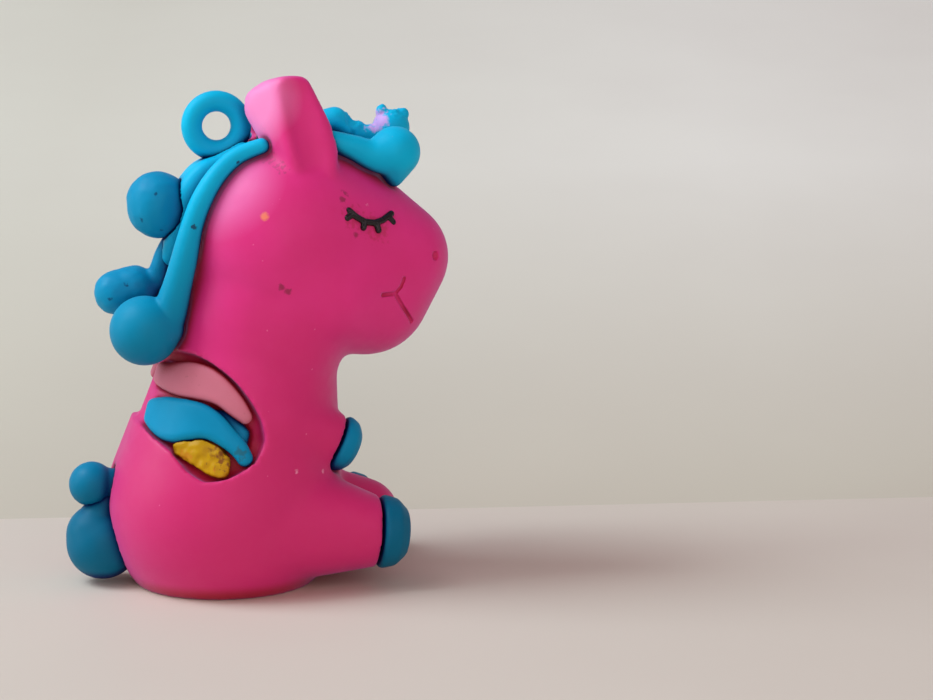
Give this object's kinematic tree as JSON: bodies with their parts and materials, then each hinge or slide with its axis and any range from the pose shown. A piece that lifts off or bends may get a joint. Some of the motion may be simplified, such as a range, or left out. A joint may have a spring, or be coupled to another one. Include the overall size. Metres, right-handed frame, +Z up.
{
  "type": "unicorn keyring figure",
  "caption": "Soft-PVC sitting unicorn keyring figure with curly mane, folded wings and a moulded hanging loop",
  "frame": {"origin": "middle of the bounding box at the flat base", "axes": "+Z up, the figure faces -Y, its right side is towards -X"},
  "size_m": [0.0288, 0.0436, 0.0567],
  "materials": {
    "pink_rubber": "satin hot pink soft PVC",
    "blue_rubber": "satin bright blue soft PVC",
    "pale_pink_rubber": "satin pale pink soft PVC",
    "yellow_rubber": "rough torn yellow soft PVC",
    "black_rubber": "glossy black soft PVC"
  },
  "bodies": {
    "root": {"body": "pink_rubber", "eye_left": "black_rubber", "eye_right": "black_rubber", "feather_lower_left": "yellow_rubber", "feather_lower_right": "yellow_rubber", "feather_middle_left": "blue_rubber", "feather_middle_right": "blue_rubber", "feather_upper_left": "pale_pink_rubber", "feather_upper_right": "pale_pink_rubber", "fore_hoof_left": "blue_rubber", "fore_hoof_right": "blue_rubber", "forelock_base": "blue_rubber", "forelock_left": "blue_rubber", "forelock_right": "blue_rubber", "hind_hoof_left": "blue_rubber", "hind_hoof_right": "blue_rubber", "keyring_loop": "blue_rubber", "mane_crest": "blue_rubber", "mane_lock_left": "blue_rubber", "mane_lock_right": "blue_rubber", "mane_middle_curl": "blue_rubber", "mane_upper_curl": "blue_rubber", "tail_lower_curl": "blue_rubber", "tail_upper_curl": "blue_rubber"}
  },
  "joints": []
}
